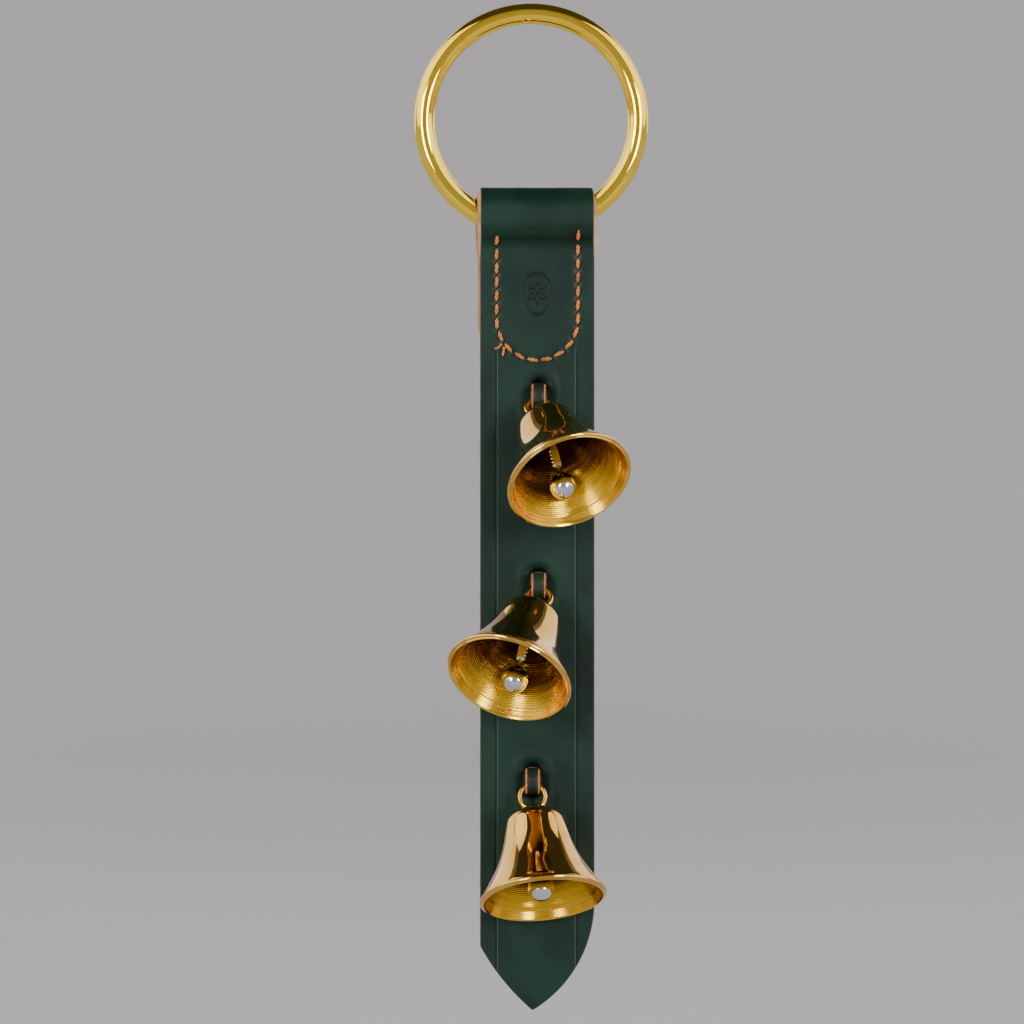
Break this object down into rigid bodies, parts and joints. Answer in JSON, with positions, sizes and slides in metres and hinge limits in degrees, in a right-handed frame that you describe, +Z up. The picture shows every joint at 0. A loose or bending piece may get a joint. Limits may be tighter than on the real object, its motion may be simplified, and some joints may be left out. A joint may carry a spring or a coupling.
{
  "type": "sleigh bells",
  "caption": "Leather door strap folded and sewn round a brass ring, with open-mouthed brass bells and swinging steel clappers laced down its front.",
  "frame": {"origin": "centre of the ring that hangs on a knob or hook", "axes": "+Z up, -Y towards the front of the strap where the bells hang, +X to the right"},
  "size_m": [0.0782, 0.0586, 0.3353],
  "materials": {
    "ring_brass": "polished",
    "bell_brass": "polished outside, turned inside",
    "loop_brass": "polished",
    "strap_leather": "smooth, waxed, raw tan edges",
    "lace_leather": "smooth face, raw tan edges",
    "thread": "waxed thread",
    "clapper_steel": "bright",
    "ball_chrome": "mirror"
  },
  "bodies": {
    "ring": {"door_ring": "ring_brass"},
    "strap": {"strap": "strap_leather", "stitches_front": "thread", "stitches_back": "thread", "lace_upper_end": "lace_leather", "lace_run_1": "lace_leather", "lace_run_2": "lace_leather", "lace_lower_end": "lace_leather"},
    "lace_loop_1": {"lace_loop_1": "lace_leather"},
    "bell_1": {"bell_1": "bell_brass", "crown_loop_1": "loop_brass"},
    "clapper_1": {"clapper_link_1": "clapper_steel", "clapper_ball_1": "ball_chrome"},
    "lace_loop_2": {"lace_loop_2": "lace_leather"},
    "bell_2": {"bell_2": "bell_brass", "crown_loop_2": "loop_brass"},
    "clapper_2": {"clapper_link_2": "clapper_steel", "clapper_ball_2": "ball_chrome"},
    "lace_loop_3": {"lace_loop_3": "lace_leather"},
    "bell_3": {"bell_3": "bell_brass", "crown_loop_3": "loop_brass"},
    "clapper_3": {"clapper_link_3": "clapper_steel", "clapper_ball_3": "ball_chrome"}
  },
  "joints": [
    {"name": "strap_swing", "type": "hinge", "parent": "ring", "child": "strap", "pos_m": [0, 0, -0.0325], "axis": [1, 0, 0], "range_deg": [-20, 0]},
    {"name": "lace_lean_1", "type": "hinge", "parent": "strap", "child": "lace_loop_1", "pos_m": [0.0024, -0.00335, -0.0921], "axis": [0, 1, 0], "range_deg": [-20, 20]},
    {"name": "bell_swing_1", "type": "hinge", "parent": "lace_loop_1", "child": "bell_1", "pos_m": [0.0024, -0.008, -0.0931], "axis": [-1, 0, 0], "range_deg": [-20, 45]},
    {"name": "clapper_swing_1", "type": "hinge", "parent": "bell_1", "child": "clapper_1", "pos_m": [0.00565, -0.01891, -0.10417], "axis": [-0.9613, -0.1935, -0.1963], "range_deg": [-1.5, 57.5]},
    {"name": "lace_lean_2", "type": "hinge", "parent": "strap", "child": "lace_loop_2", "pos_m": [0.0024, -0.00335, -0.1548], "axis": [0, 1, 0], "range_deg": [-20, 20]},
    {"name": "bell_swing_2", "type": "hinge", "parent": "lace_loop_2", "child": "bell_2", "pos_m": [0.0024, -0.008, -0.1558], "axis": [-1, 0, 0], "range_deg": [-18, 45]},
    {"name": "clapper_swing_2", "type": "hinge", "parent": "bell_2", "child": "clapper_2", "pos_m": [-0.00085, -0.01846, -0.1673], "axis": [-0.9613, 0.1855, 0.2039], "range_deg": [-1.5, 57.5]},
    {"name": "lace_lean_3", "type": "hinge", "parent": "strap", "child": "lace_loop_3", "pos_m": [0.0004, -0.00335, -0.2198], "axis": [0, 1, 0], "range_deg": [-20, 20]},
    {"name": "bell_swing_3", "type": "hinge", "parent": "lace_loop_3", "child": "bell_3", "pos_m": [0.0004, -0.008, -0.2208], "axis": [-1, 0, 0], "range_deg": [-3, 60]},
    {"name": "clapper_swing_3", "type": "hinge", "parent": "bell_3", "child": "clapper_3", "pos_m": [0.00151, -0.01502, -0.23512], "axis": [-0.9956, -0.0414, -0.0845], "range_deg": [-3.5, 55.5]}
  ]
}
